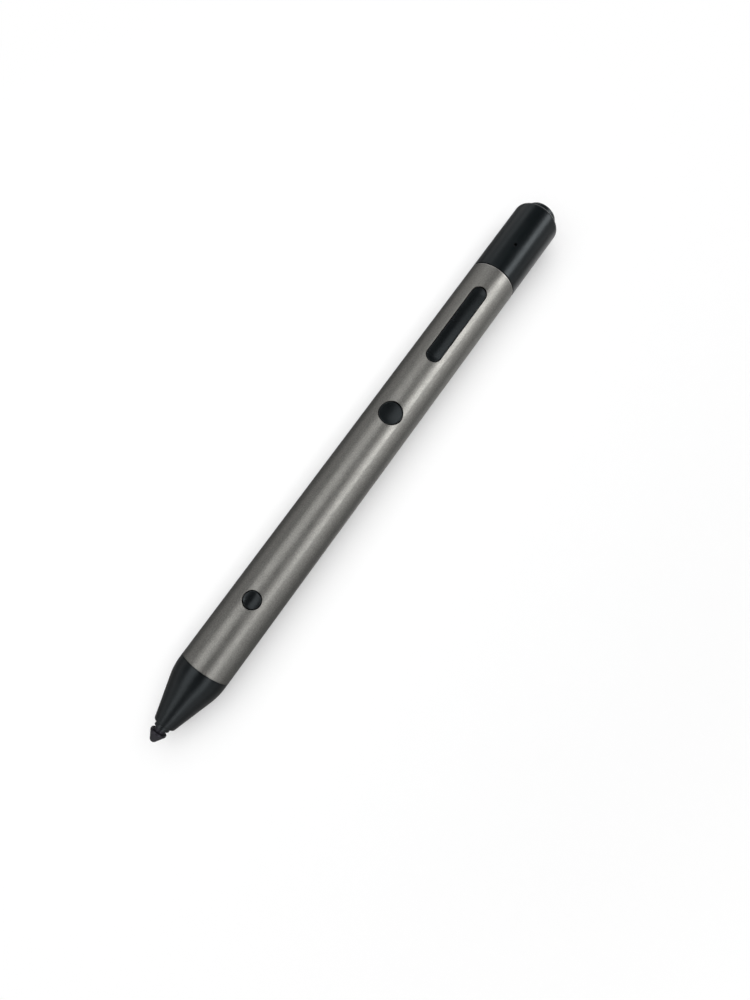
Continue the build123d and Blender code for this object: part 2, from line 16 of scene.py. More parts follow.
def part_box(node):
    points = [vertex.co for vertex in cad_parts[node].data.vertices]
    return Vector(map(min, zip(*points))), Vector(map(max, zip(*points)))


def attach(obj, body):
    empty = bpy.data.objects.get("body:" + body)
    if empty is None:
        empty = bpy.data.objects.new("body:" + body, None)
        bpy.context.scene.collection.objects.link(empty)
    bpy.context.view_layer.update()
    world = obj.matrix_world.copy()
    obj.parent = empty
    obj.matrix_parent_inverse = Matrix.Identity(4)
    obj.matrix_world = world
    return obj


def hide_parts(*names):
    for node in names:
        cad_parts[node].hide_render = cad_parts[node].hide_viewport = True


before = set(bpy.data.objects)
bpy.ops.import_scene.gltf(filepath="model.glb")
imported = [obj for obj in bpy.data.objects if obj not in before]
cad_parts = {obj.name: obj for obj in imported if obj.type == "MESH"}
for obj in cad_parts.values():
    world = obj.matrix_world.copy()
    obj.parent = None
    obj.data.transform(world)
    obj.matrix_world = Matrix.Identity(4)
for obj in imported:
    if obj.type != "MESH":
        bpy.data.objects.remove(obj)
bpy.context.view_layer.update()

bl_info = {
    "name": "Stylus pen",
    "version": (1, 0, 0),
    "blender": (4, 5, 0),
    "location": "View3D > Sidebar > Stylus",
    "description": "Turned pieces, surface finishes and a studio for a rechargeable stylus pen",
    "category": "Object",
}

MM = 0.001

# Tints of the reflections on the black plastics
COOL = (0.86, 0.95, 1.0, 1)
VIOLET = (0.88, 0.86, 1.0, 1)

# Fineness of the meshes
TURN_STEPS = 144
SMALL_TURN_STEPS = 96
WINDOW_STEPS = 48
SWEEP_STEPS = 96
RIM_STEPS = 4
HARD_EDGE = radians(25)

# Rings of a key's dish, as shares of its reach
DISH_RINGS = [0.9, 0.8, 0.7, 0.6, 0.5, 0.4, 0.3, 0.2, 0.1, 0.04]

# Points that lie nearer together than this are one point
SAME_PLACE = 1e-7

# The whole round of the nib's tip would end in one point on the axis, so a little less is rounded
TIP_SHARE = 0.99

nib_low, nib_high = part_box("nib")
guide_low, guide_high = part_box("nib_guide")
nose_low, nose_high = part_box("nose_cone")
barrel_low, barrel_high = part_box("barrel")
button_low, button_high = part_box("tail_button")
window_low, window_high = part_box("light_pipe")

# The pen lies on the floor, so its axis is as high as its radius
pen_radius = axis_height = (nose_low.z + nose_high.z) / 2


def length(name, description, default):
    """A length that a user may change."""
    return FloatProperty(
        name=name, description=description, default=default, unit="LENGTH", precision=6
    )


def angle(name, description, default):
    """An angle that a user may change."""
    return FloatProperty(name=name, description=description, default=default, subtype="ANGLE")


def lamp_power(name, description, default):
    """A lamp's power that a user may change."""
    return FloatProperty(name=name, description=description, default=default, unit="POWER")


def share(name, description, default):
    """A plain number from 0 to 1 that a user may change."""
    return FloatProperty(
        name=name, description=description, default=default, min=0, max=1, subtype="FACTOR"
    )


def colour(name, description, default):
    """A colour that a user may change."""
    return FloatVectorProperty(
        name=name, description=description, default=default, size=3, subtype="COLOR", min=0, max=1
    )


class PenSizes(bpy.types.PropertyGroup):
    """Sizes of the turned pieces, the keys and the small edges."""

    nib_tip_radius: length("Nib tip radius", "Round at the very tip of the nib", 0.8 * MM)
    nib_cone_angle: angle("Nib cone angle", "Angle of the nib's cone to the axis", radians(33))
    nib_head_radius: length("Nib head radius", "Widest radius of the nib, at its barb", 1.67 * MM)
    nib_head_length: length("Nib head length", "From the tip to the back of the barb", 2.3 * MM)
    nib_undercut: length("Nib undercut", "How far the barb's back leans forward", 0.6 * MM)
    nib_edge_round: length("Nib edge round", "Round on the two edges of the barb", 0.06 * MM)
    nib_shank_radius: length("Nib shank radius", "Radius of the shank behind the barb", 1.17 * MM)
    nib_pin_radius: length("Nib pin radius", "Radius of the pin that the socket grips", 0.75 * MM)
    nib_pin_length: length("Nib pin length", "Length of that pin", 5.0 * MM)

    guide_bore_radius: length("Guide bore radius", "Bore for the nib's shank", 1.23 * MM)
    guide_collar_radius: length("Guide collar radius", "Collar standing out of the nose", 1.57 * MM)
    guide_flange_length: length("Guide flange length", "Flange inside the nose", 0.8 * MM)
    guide_setback: length("Guide setback", "How far its front lies behind the packed one", 0.35 * MM)
    guide_edge_round: length("Guide edge round", "Round on the collar's front edge", 0.1 * MM)

    nose_setback: length("Nose setback", "How far its front lies behind the packed one", 0.5 * MM)
    nose_front_radius: length("Nose front radius", "Radius of the front face", 2.20 * MM)
    nose_bore_radius: length("Nose bore radius", "Bore that holds the guide", 1.62 * MM)
    nose_corner_station: length(
        "Nose corner", "From the seam to where the taper would meet the barrel", 2.64 * MM
    )
    nose_shoulder_round: length("Nose shoulder", "Round from taper to barrel", 10.4 * MM)
    nose_edge_round: length("Nose edge round", "Round on the front edge", 0.25 * MM)
    nose_chamber_radius: length("Nose chamber radius", "Chamber behind the guide", 2.712 * MM)
    nose_chamber_length: length("Nose chamber length", "Length of that chamber", 4.6 * MM)
    nose_spigot_radius: length("Nose spigot radius", "Spigot inside the barrel", 4.5 * MM)
    nose_spigot_bore: length("Nose spigot bore", "Bore of that spigot", 3.5 * MM)

    tail_button_radius: length("Tail button radius", "Radius of the button at the tail", 3.65 * MM)
    tail_button_round: length("Tail button round", "Round on its outer edge", 0.7 * MM)
    tail_stem_radius: length("Tail stem radius", "Stem that works the switch", 1.5 * MM)
    tail_stem_length: length("Tail stem length", "Length of that stem", 1.0 * MM)
    tail_flange_length: length("Tail flange length", "Flange inside the cap", 1.0 * MM)

    key_wall_top: length("Key wall top", "Height up to which the packed walls stay", 9.75 * MM)
    key_edge_round: length("Key edge round", "Round on the keys' rims", 0.12 * MM)
    lower_dish: length("Lower key dish", "Depth of the lower key's finger dish", 0.36 * MM)
    upper_dish: length("Upper key dish", "Depth of the upper key's finger dish", 0.24 * MM)
    rocker_dish: length("Rocker dish", "Depth of the rocker's finger dish", 0.17 * MM)

    window_round: length("Light window round", "Round on the window's top edge", 0.1 * MM)
    bare_edge: length("Bare edge", "Cut edge at the barrel's rear rim", 0.32 * MM)
    bare_edge_blend: length("Bare edge blend", "Width over which the dye ends", 0.02 * MM)


class PenColours(bpy.types.PropertyGroup):
    """Colours of the finishes, as they render in plain light."""

    barrel: colour("Barrel", "Dyed, bead-blasted aluminium", (0.172, 0.169, 0.159))
    barrel_edge: colour("Barrel edge", "Aluminium with its dye cut away", (0.30, 0.295, 0.28))
    nose: colour("Nose", "Satin moulded black", (0.0010, 0.0017, 0.0021))
    guide: colour("Guide", "Satin moulded black", (0.0030, 0.0036, 0.0042))
    nib: colour("Nib", "Fine matt black with a violet cast", (0.0052, 0.0046, 0.0064))
    key: colour("Keys", "Satin moulded black", (0.0020, 0.0028, 0.0032))
    tail: colour("Tail", "Satin-gloss blue-black", (0.0016, 0.0028, 0.0034))
    tail_button: colour("Tail button", "Satin moulded black", (0.0020, 0.0030, 0.0034))
    window: colour("Light window", "Smoked clear plastic", (0.0015, 0.0015, 0.0016))

    inner_frame: colour("Inner frame", "Dark grey moulded plastic", (0.035, 0.035, 0.037))
    chip: colour("Chips and switches", "Black resin", (0.012, 0.012, 0.012))
    resin: colour("Light and antenna", "Off-white resin", (0.70, 0.70, 0.66))
    brass: colour("Brass", "Turned brass", (0.62, 0.44, 0.19))
    steel: colour("Steel", "Plated steel", (0.56, 0.56, 0.54))
    board: colour("Board", "Green mask", (0.020, 0.135, 0.065))
    board_patch: colour("Board patches", "Green mask, a shade lighter", (0.024, 0.150, 0.075))
    board_line: colour("Board lines", "Copper under the green mask", (0.060, 0.240, 0.120))
    cable: colour("Cable", "Amber film", (0.36, 0.16, 0.03))
    cable_line: colour("Cable lines", "Copper under the amber film", (0.55, 0.27, 0.07))
    cell: colour("Cell", "Grey shrink sleeve", (0.30, 0.31, 0.33))

    floor: colour("Floor", "Pale studio floor", (0.90, 0.90, 0.90))
    # Grey cards seen only in reflections: painted shade in the pen's reflections of the floor
    left_shade_card: colour("Left card", "Grey card on the keys' left", (0.22, 0.22, 0.22))
    right_shade_card: colour("Right card", "Grey card on the keys' right", (0.32, 0.32, 0.32))


class PenStage(bpy.types.PropertyGroup):
    """Camera, lamps, floor and cards."""

    camera_place: FloatVectorProperty(
        name="Camera place",
        description="Where the camera stands",
        default=(-25.174 * MM, -14.635 * MM, 124.608 * MM),
        subtype="TRANSLATION",
        unit="LENGTH",
    )
    camera_turn: FloatVectorProperty(
        name="Camera turn",
        description="How the camera is turned",
        default=(radians(9.384), radians(-2.437), radians(-54.510)),
        subtype="EULER",
    )
    camera_lens: FloatProperty(
        name="Camera lens", description="Focal length in millimetres", default=21.6
    )
    camera_sensor: FloatProperty(
        name="Camera sensor", description="Height of the sensor in millimetres", default=36
    )
    camera_near: length("Camera near", "Distance at which the camera starts to see", 5 * MM)

    ceiling_power: lamp_power("Ceiling", "Power of the wide, soft ceiling lamp", 7.0)
    bright_strip_power: lamp_power("Bright strip", "Power of the strip on the keys' right", 2.05)
    nose_strip_power: lamp_power("Nose strip", "Power of the strip towards the nose", 1.25)
    broad_strip_power: lamp_power("Broad strip", "Power of the broad strip on the keys' left", 2.0)
    side_strip_power: lamp_power("Side strip", "Power of the low strip beyond the tail", 0.14)
    sky_level: share("Sky level", "Brightness of the dim room above the lamps", 0.07)

    floor_radius: length("Floor radius", "Where the flat floor begins to slope up", 1.4)
    wall_radius: length("Wall radius", "Where the slope meets the wall", 1.9)
    wall_foot: length("Wall foot", "Height at which the wall begins", 0.5)
    wall_top: length("Wall top", "Height at which the wall ends", 1.5)
    floor_lift: share("Floor lift", "Share of plain white in the floor around the pen", 0.22)
    lift_start: length("Lift start", "Distance from which that share grows", 60 * MM)
    lift_end: length("Lift end", "Distance from which the floor is plain white", 130 * MM)
    # The floor's glow dims with height: painted shade towards the top of the wall
    fade_start: length("Fade start", "Height from which the white fades", 0.1)
    fade_end: length("Fade end", "Height at which it has faded", 1.2)
    fade_level: share("Fade level", "Brightness of the faded white", 0.2)

    # The grey cards are seen only in reflections, where they paint shade
    card_length: length("Card length", "Length of the grey cards", 440 * MM)
    card_width: length("Card width", "Width of the grey cards", 120 * MM)
    card_middle: length("Card middle", "Where the cards' middle lies along the pen", -130 * MM)
    card_height: length("Card height", "Height of the cards over the floor", 0.2 * MM)
    left_card_place: length("Left card place", "From the pen to the left card", 63 * MM)
    right_card_place: length("Right card place", "From the pen to the right card", -55 * MM)
    left_card_turn: angle("Left card turn", "How the left card is turned", 0)
    right_card_turn: angle("Right card turn", "How the right card is turned", radians(-7.6))


# Shared shader groups


def start_group(name, inputs, outputs):
    """An empty shader group with named sockets, and its two end nodes."""
    group = bpy.data.node_groups.new(name, "ShaderNodeTree")
    for label, kind in inputs:
        group.interface.new_socket(label, in_out="INPUT", socket_type=kind)
    for label, kind in outputs:
        group.interface.new_socket(label, in_out="OUTPUT", socket_type=kind)
    return group, group.nodes.new("NodeGroupInput"), group.nodes.new("NodeGroupOutput")


def spread_noise(group, start, detail, low, high):
    """Noise at a group's own place and scale, spread out between two of its levels."""
    noise = group.nodes.new("ShaderNodeTexNoise")
    noise.inputs["Detail"].default_value = detail
    spread = group.nodes.new("ShaderNodeMapRange")
    spread.inputs["From Min"].default_value = low
    spread.inputs["From Max"].default_value = high
    group.links.new(start.outputs["Vector"], noise.inputs["Vector"])
    group.links.new(start.outputs["Scale"], noise.inputs["Scale"])
    group.links.new(noise.outputs["Fac"], spread.inputs["Value"])
    return noise, spread


def fine_grain():
    """Shared group: an even grain, as bead blasting or a spark-eroded mould leaves it."""
    if "fine_grain" in bpy.data.node_groups:
        return bpy.data.node_groups["fine_grain"]
    group, start, end = start_group(
        "fine_grain",
        [("Vector", "NodeSocketVector"), ("Scale", "NodeSocketFloat")],
        [("Mask", "NodeSocketFloat")],
    )
    noise, spread = spread_noise(group, start, detail=2.0, low=0.32, high=0.68)
    noise.inputs["Roughness"].default_value = 0.6
    group.links.new(spread.outputs["Result"], end.inputs["Mask"])
    return group


def uneven_sheen():
    """Shared group: a roughness that drifts slowly over the surface, as handling leaves it."""
    if "uneven_sheen" in bpy.data.node_groups:
        return bpy.data.node_groups["uneven_sheen"]
    group, start, end = start_group(
        "uneven_sheen",
        [
            ("Vector", "NodeSocketVector"),
            ("Scale", "NodeSocketFloat"),
            ("Least", "NodeSocketFloat"),
            ("Most", "NodeSocketFloat"),
        ],
        [("Roughness", "NodeSocketFloat")],
    )
    spread = spread_noise(group, start, detail=3.0, low=0.3, high=0.7)[1]
    group.links.new(start.outputs["Least"], spread.inputs["To Min"])
    group.links.new(start.outputs["Most"], spread.inputs["To Max"])
    group.links.new(spread.outputs["Result"], end.inputs["Roughness"])
    return group


def shaded_colour():
    """Shared group: a colour made a little lighter and darker by a mask."""
    if "shaded_colour" in bpy.data.node_groups:
        return bpy.data.node_groups["shaded_colour"]
    group, start, end = start_group(
        "shaded_colour",
        [("Colour", "NodeSocketColor"), ("Mask", "NodeSocketFloat"), ("Depth", "NodeSocketFloat")],
        [("Colour", "NodeSocketColor")],
    )
    centred = group.nodes.new("ShaderNodeMath")
    centred.operation = "SUBTRACT"
    centred.inputs[1].default_value = 0.5
    factor = group.nodes.new("ShaderNodeMath")
    factor.operation = "MULTIPLY_ADD"
    factor.inputs[2].default_value = 1.0
    scaled = group.nodes.new("ShaderNodeVectorMath")
    scaled.operation = "SCALE"
    group.links.new(start.outputs["Mask"], centred.inputs[0])
    group.links.new(centred.outputs["Value"], factor.inputs[0])
    group.links.new(start.outputs["Depth"], factor.inputs[1])
    group.links.new(start.outputs["Colour"], scaled.inputs["Vector"])
    group.links.new(factor.outputs["Value"], scaled.inputs["Scale"])
    group.links.new(scaled.outputs["Vector"], end.inputs["Colour"])
    return group


# Materials


class Finish:
    """A material in the making: its tree, its shader and the piece's own coordinates.

    Plain values go to the shader's sockets by name, with underscores for spaces.
    """

    def __init__(self, name, **plain):
        self.material = bpy.data.materials.new(name)
        self.material.use_nodes = True
        self.tree = self.material.node_tree
        self.shader = self.tree.nodes["Principled BSDF"]
        self.coordinates = self.tree.nodes.new("ShaderNodeTexCoord").outputs["Object"]
        for socket, value in plain.items():
            self.shader.inputs[socket.replace("_", " ")].default_value = value

    def node(self, kind, **settings):
        """A new node with some settings."""
        made = self.tree.nodes.new(kind)
        for key, value in settings.items():
            setattr(made, key, value)
        return made

    def link(self, start, end):
        """A link between two sockets."""
        self.tree.links.new(start, end)

    def group(self, tree, **values):
        """The output of a shared group, whose inputs are given values or links."""
        made = self.node("ShaderNodeGroup", node_tree=tree)
        for label, value in values.items():
            if isinstance(value, bpy.types.NodeSocket):
                self.link(value, made.inputs[label])
            else:
                made.inputs[label].default_value = value
        return made.outputs[0]

    def stretched(self, along, across, upward):
        """The piece's coordinates, scaled by themselves along each axis."""
        mapping = self.node("ShaderNodeMapping")
        mapping.inputs["Scale"].default_value = (along, across, upward)
        self.link(self.coordinates, mapping.inputs["Vector"])
        return mapping.outputs["Vector"]

    def grain(self, scale, vector=None):
        """A mask of fine grain."""
        return self.group(fine_grain(), Vector=vector or self.coordinates, Scale=scale)

    def paint(self, tint, mask, depth):
        """A tint, shaded by a mask."""
        return self.group(shaded_colour(), Colour=(*tint, 1), Mask=mask, Depth=depth)

    def base(self, value):
        """The shader's own colour."""
        self.link(value, self.shader.inputs["Base Color"])

    def sheen(self, scale, rough):
        """The shader's roughness, which drifts between a least and a most value."""
        least, most = rough
        value = self.group(
            uneven_sheen(), Vector=self.coordinates, Scale=scale, Least=least, Most=most
        )
        self.link(value, self.shader.inputs["Roughness"])

    def bump(self, height, distance):
        """The shader's relief."""
        relief = self.node("ShaderNodeBump")
        relief.inputs["Distance"].default_value = distance
        self.link(height, relief.inputs["Height"])
        self.link(relief.outputs["Normal"], self.shader.inputs["Normal"])


def moulded_finish(name, tint, grain, rough, depth=0.3, relief=0.004 * MM, **plain):
    """Moulded plastic: a fine mould texture in its colour and relief, and an uneven sheen."""
    finish = Finish(name, **plain)
    mask = finish.grain(scale=grain)
    finish.base(finish.paint(tint, mask, depth))
    finish.sheen(scale=260, rough=rough)
    finish.bump(mask, distance=relief)
    return finish.material


def plated_finish(name, tint):
    """Plated or turned metal: fine lines along the piece and an uneven sheen."""
    finish = Finish(name, Metallic=1.0)
    mask = finish.grain(scale=1.0, vector=finish.stretched(along=900, across=9000, upward=9000))
    finish.base(finish.paint(tint, mask, depth=0.18))
    finish.sheen(scale=700, rough=(0.22, 0.34))
    finish.bump(mask, distance=0.002 * MM)
    return finish.material


def barrel_finish(tint, edge_tint, edge_start, edge_blend):
    """Bead-blasted, dyed aluminium, with a bright cut edge at the rear rim."""
    finish = Finish("anodised_barrel", Metallic=1.0, Specular_Tint=(0.8, 0.8, 0.8, 1))
    grain = finish.grain(scale=4800)
    dyed = finish.paint(tint, grain, depth=0.42)
    place = finish.node("ShaderNodeSeparateXYZ")
    cut = finish.node("ShaderNodeMapRange")
    cut.inputs["From Min"].default_value = edge_start
    cut.inputs["From Max"].default_value = edge_start + edge_blend
    mix = finish.node("ShaderNodeMix", data_type="RGBA")
    mix.inputs["B"].default_value = (*edge_tint, 1)
    finish.link(finish.coordinates, place.inputs["Vector"])
    finish.link(place.outputs["X"], cut.inputs["Value"])
    finish.link(cut.outputs["Result"], mix.inputs["Factor"])
    finish.link(dyed, mix.inputs["A"])
    finish.base(mix.outputs["Result"])
    finish.sheen(scale=320, rough=(0.40, 0.46))
    finish.bump(grain, distance=0.006 * MM)
    return finish.material


def laminate_finish(name, tint, patch_tint, line_tint):
    """Circuit board: green mask with faint copper lines under it."""
    finish = Finish(name, Specular_IOR_Level=0.5)
    lines = finish.node("ShaderNodeTexBrick")
    lines.inputs["Scale"].default_value = 900
    lines.inputs["Color1"].default_value = (*tint, 1)
    lines.inputs["Color2"].default_value = (*patch_tint, 1)
    lines.inputs["Mortar"].default_value = (*line_tint, 1)
    lines.inputs["Mortar Size"].default_value = 0.06
    finish.link(finish.coordinates, lines.inputs["Vector"])
    finish.base(lines.outputs["Color"])
    finish.sheen(scale=500, rough=(0.28, 0.36))
    finish.bump(lines.outputs["Fac"], distance=0.01 * MM)
    return finish.material


def film_finish(name, tint, line_tint):
    """Flat cable: amber film over copper lines that run along it."""
    finish = Finish(name)
    lines = finish.node("ShaderNodeTexWave", bands_direction="Y")
    lines.inputs["Scale"].default_value = 620
    mix = finish.node("ShaderNodeMix", data_type="RGBA")
    mix.inputs["A"].default_value = (*tint, 1)
    mix.inputs["B"].default_value = (*line_tint, 1)
    finish.link(finish.coordinates, lines.inputs["Vector"])
    finish.link(lines.outputs["Fac"], mix.inputs["Factor"])
    finish.base(mix.outputs["Result"])
    finish.sheen(scale=400, rough=(0.25, 0.35))
    return finish.material


def sleeve_finish(name, tint):
    """Shrink sleeve around the cell: grey film with faint wrinkles along it."""
    finish = Finish(name)
    mask = finish.grain(scale=1.0, vector=finish.stretched(along=220, across=2600, upward=2600))
    finish.base(finish.paint(tint, mask, depth=0.2))
    finish.sheen(scale=300, rough=(0.30, 0.42))
    finish.bump(mask, distance=0.02 * MM)
    return finish.material


def shade_card_finish(name, tint):
    """Matt grey card, a little uneven, for the sheets that paint shade into reflections."""
    finish = Finish(name, Specular_IOR_Level=0.0, Roughness=1.0)
    finish.base(finish.paint(tint, finish.grain(scale=200), depth=0.1))
    return finish.material


# Pieces


def finished(bm, name):
    """An object at the origin from a finished bmesh, smooth except at its hard edges."""
    bmesh.ops.recalc_face_normals(bm, faces=bm.faces)
    for face in bm.faces:
        face.smooth = True
    for edge in bm.edges:
        edge.smooth = edge.calc_face_angle(0) < HARD_EDGE
    mesh = bpy.data.meshes.new(name)
    bm.to_mesh(mesh)
    bm.free()
    piece = bpy.data.objects.new(name, mesh)
    bpy.context.scene.collection.objects.link(piece)
    return piece


def fit(piece, material, body, node):
    """Gives a new piece its material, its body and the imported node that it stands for."""
    piece.data.materials.append(material)
    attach(piece, body)
    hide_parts(node)


def dress(material, *nodes):
    """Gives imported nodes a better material."""
    for name in nodes:
        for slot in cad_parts[name].material_slots:
            slot.material = material


def round_edges(bm, edges, offset, segments):
    """Rounds some edges, starting at an offset from them."""
    if not edges:
        raise RuntimeError("There is no edge to round")
    bmesh.ops.bevel(
        bm, geom=edges, offset=offset, offset_type="OFFSET", segments=segments, profile=0.5,
        affect="EDGES", material=-1,
    )


def corner_turn(before, corner, after):
    """The angle that an outline turns through at a corner."""
    arriving = atan2(corner[1] - before[1], corner[0] - before[0])
    leaving = atan2(after[1] - corner[1], after[0] - corner[0])
    return abs((leaving - arriving + pi) % (2 * pi) - pi)


def on_circle(vert, corner):
    """Whether a vertex lies on the circle that an outline's corner was turned into."""
    x, radius = corner
    from_axis = hypot(vert.co.y, vert.co.z - axis_height)
    return abs(vert.co.x - x) < SAME_PLACE and abs(from_axis - radius) < SAME_PLACE


def turned(name, outline, rounds, closed=True, steps=TURN_STEPS):
    """A piece turned about the pen's axis from an outline of (x, radius) corners.

    Each round is a corner of the outline, the radius of its round and a number of segments.
    """
    bm = bmesh.new()
    verts = [bm.verts.new((x, 0, axis_height + radius)) for x, radius in outline]
    following = verts[1:] + verts[:1] if closed else verts[1:]
    for first, second in zip(verts, following):
        bm.edges.new((first, second))
    bmesh.ops.spin(
        bm, geom=[*bm.verts, *bm.edges], cent=(0, 0, axis_height), axis=(1, 0, 0), angle=2 * pi,
        steps=steps, use_merge=True,
    )
    bmesh.ops.remove_doubles(bm, verts=bm.verts, dist=SAME_PLACE)
    bmesh.ops.recalc_face_normals(bm, faces=bm.faces)
    for corner, radius, segments in rounds:
        place = outline.index(corner)
        turn = corner_turn(outline[place - 1], corner, outline[place + 1])
        rim = [edge for edge in bm.edges if all(on_circle(vert, corner) for vert in edge.verts)]
        round_start = radius * tan(turn / 2)
        round_edges(bm, rim, round_start, segments)
    return finished(bm, name)


class STYLUS_OT_nib(bpy.types.Operator):
    """Turn the nib: a round-tipped cone with a barbed back, its shank and its pin"""

    bl_idname = "stylus.nib"
    bl_label = "Nib"

    def execute(self, context):
        sizes = context.scene.pen_sizes
        tip = nib_low.x
        back = tip + sizes.nib_head_length
        flat = sizes.nib_tip_radius * tan((pi / 2 - sizes.nib_cone_angle) / 2)
        flare = tip + (sizes.nib_head_radius - flat) / tan(sizes.nib_cone_angle)
        shank_end = nib_high.x - sizes.nib_pin_length
        tip_corner = (tip, flat)
        front_corner = (flare, sizes.nib_head_radius)
        back_corner = (back, sizes.nib_head_radius)
        outline = [
            (tip, 0),
            tip_corner,
            front_corner,
            back_corner,
            (back - sizes.nib_undercut, sizes.nib_shank_radius),
            (shank_end, sizes.nib_shank_radius),
            (shank_end, sizes.nib_pin_radius),
            (nib_high.x, sizes.nib_pin_radius),
            (nib_high.x, 0),
        ]
        rounds = [
            (tip_corner, sizes.nib_tip_radius * TIP_SHARE, 12),
            (front_corner, sizes.nib_edge_round, 4),
            (back_corner, sizes.nib_edge_round, 4),
        ]
        piece = turned("nib_tip", outline, rounds, closed=False, steps=SMALL_TURN_STEPS)
        material = moulded_finish(
            "nib_matt", context.scene.pen_colours.nib, grain=5200, rough=(0.38, 0.45), depth=0.4,
            relief=0.005 * MM, Specular_IOR_Level=0.3, Specular_Tint=VIOLET, Sheen_Weight=0.07,
            Sheen_Roughness=0.4,
        )
        fit(piece, material, "nib", "nib")
        return {"FINISHED"}


class STYLUS_OT_guide(bpy.types.Operator):
    """Turn the guide: a flanged bush whose collar stands out around the nib's shank"""

    bl_idname = "stylus.guide"
    bl_label = "Nib guide"

    def execute(self, context):
        sizes = context.scene.pen_sizes
        front = guide_low.x + sizes.guide_setback
        flange = guide_high.x - sizes.guide_flange_length
        flange_radius = (guide_high.z - guide_low.z) / 2
        front_corner = (front, sizes.guide_collar_radius)
        outline = [
            (front, sizes.guide_bore_radius),
            front_corner,
            (flange, sizes.guide_collar_radius),
            (flange, flange_radius),
            (guide_high.x, flange_radius),
            (guide_high.x, sizes.guide_bore_radius),
        ]
        rounds = [(front_corner, sizes.guide_edge_round, 4)]
        piece = turned("guide_collar", outline, rounds, steps=SMALL_TURN_STEPS)
        material = moulded_finish(
            "guide_satin", context.scene.pen_colours.guide, grain=5200, rough=(0.30, 0.36),
            Specular_IOR_Level=0.3, Specular_Tint=COOL,
        )
        fit(piece, material, "pen", "nib_guide")
        return {"FINISHED"}


class STYLUS_OT_nose(bpy.types.Operator):
    """Turn the nose: a straight taper that rounds into the barrel, with its chamber and spigot"""

    bl_idname = "stylus.nose"
    bl_label = "Nose"

    def execute(self, context):
        sizes = context.scene.pen_sizes
        front = nose_low.x + sizes.nose_setback
        seam = barrel_low.x
        chamber_front = guide_high.x - sizes.guide_flange_length
        chamber_rear = chamber_front + sizes.nose_chamber_length
        front_corner = (front, sizes.nose_front_radius)
        shoulder = (seam - sizes.nose_corner_station, pen_radius)
        outline = [
            (front, sizes.nose_bore_radius),
            front_corner,
            shoulder,
            (seam, pen_radius),
            (seam, sizes.nose_spigot_radius),
            (nose_high.x, sizes.nose_spigot_radius),
            (nose_high.x, sizes.nose_spigot_bore),
            (chamber_rear, sizes.nose_spigot_bore),
            (chamber_rear, sizes.nose_chamber_radius),
            (chamber_front, sizes.nose_chamber_radius),
            (chamber_front, sizes.nose_bore_radius),
        ]
        rounds = [
            (shoulder, sizes.nose_shoulder_round, 12),
            (front_corner, sizes.nose_edge_round, 5),
        ]
        piece = turned("nose_taper", outline, rounds)
        material = moulded_finish(
            "nose_satin", context.scene.pen_colours.nose, grain=3600, rough=(0.29, 0.34),
            Specular_IOR_Level=0.25, Specular_Tint=COOL,
        )
        fit(piece, material, "pen", "nose_cone")
        return {"FINISHED"}


class STYLUS_OT_barrel(bpy.types.Operator):
    """Finish the barrel in bead-blasted, dyed aluminium"""

    bl_idname = "stylus.barrel"
    bl_label = "Barrel"

    def execute(self, context):
        sizes = context.scene.pen_sizes
        colours = context.scene.pen_colours
        edge_start = barrel_high.x - sizes.bare_edge
        material = barrel_finish(
            colours.barrel, colours.barrel_edge, edge_start, sizes.bare_edge_blend
        )
        dress(material, "barrel")
        return {"FINISHED"}


def key_rings(half_width, edge_round, dish):
    """The rings of a key's top, from its wall to its middle: share of the outline, and height."""
    # The barrel falls away beside the key, and the flat rim lies halfway down that drop
    side_drop = axis_height - sqrt(axis_height**2 - half_width**2)
    rim = barrel_high.z - side_drop / 2
    flat = 1 - edge_round / half_width
    turns = [radians(90 / RIM_STEPS * step) for step in range(RIM_STEPS + 1)]
    rings = [
        (1 - (1 - flat) * (1 - cos(turn)), rim - edge_round * (1 - sin(turn))) for turn in turns
    ]
    rings += [(flat * ring, rim - dish * (1 - ring**2)) for ring in DISH_RINGS]
    return rings


def dished_key(name, node, dish):
    """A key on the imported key's lip and walls, with a flat, round-edged rim and a shallow dish."""
    sizes = bpy.context.scene.pen_sizes
    bm = bmesh.new()
    bm.from_mesh(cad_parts[node].data)
    bmesh.ops.remove_doubles(bm, verts=bm.verts, dist=SAME_PLACE)
    bmesh.ops.bisect_plane(
        bm, geom=[*bm.verts, *bm.edges, *bm.faces], dist=SAME_PLACE, clear_outer=True,
        plane_co=(0, 0, sizes.key_wall_top), plane_no=(0, 0, 1),
    )
    loop = [edge for edge in bm.edges if edge.is_boundary]
    outline = {vert for edge in loop for vert in edge.verts}
    half_width = max(vert.co.y for vert in outline)
    front = min(vert.co.x for vert in outline) + half_width
    rear = max(vert.co.x for vert in outline) - half_width
    before = 1
    for ring, height in key_rings(half_width, sizes.key_edge_round, dish):
        made = bmesh.ops.extrude_edge_only(bm, edges=loop)["geom"]
        loop = [part for part in made if isinstance(part, bmesh.types.BMEdge) and part.is_boundary]
        for vert in {vert for edge in loop for vert in edge.verts}:
            x, y, _ = vert.co
            middle = min(max(x, front), rear)
            vert.co = (middle + (x - middle) * ring / before, y * ring / before, height)
        before = ring
    bmesh.ops.holes_fill(bm, edges=loop, sides=0)
    return finished(bm, name)


class STYLUS_OT_keys(bpy.types.Operator):
    """Make the two round keys and the rocker in satin black, with shallow finger dishes"""

    bl_idname = "stylus.keys"
    bl_label = "Keys"

    def execute(self, context):
        sizes = context.scene.pen_sizes
        material = moulded_finish(
            "key_satin", context.scene.pen_colours.key, grain=4200, rough=(0.25, 0.30),
            relief=0.003 * MM, Specular_IOR_Level=0.23, Specular_Tint=COOL,
        )
        keys = (
            ("lower_key", "lower_button", sizes.lower_dish),
            ("upper_key", "upper_button", sizes.upper_dish),
            ("rocker_key", "rocker", sizes.rocker_dish),
        )
        for name, node, dish in keys:
            fit(dished_key(name, node, dish), material, node, node)
        return {"FINISHED"}


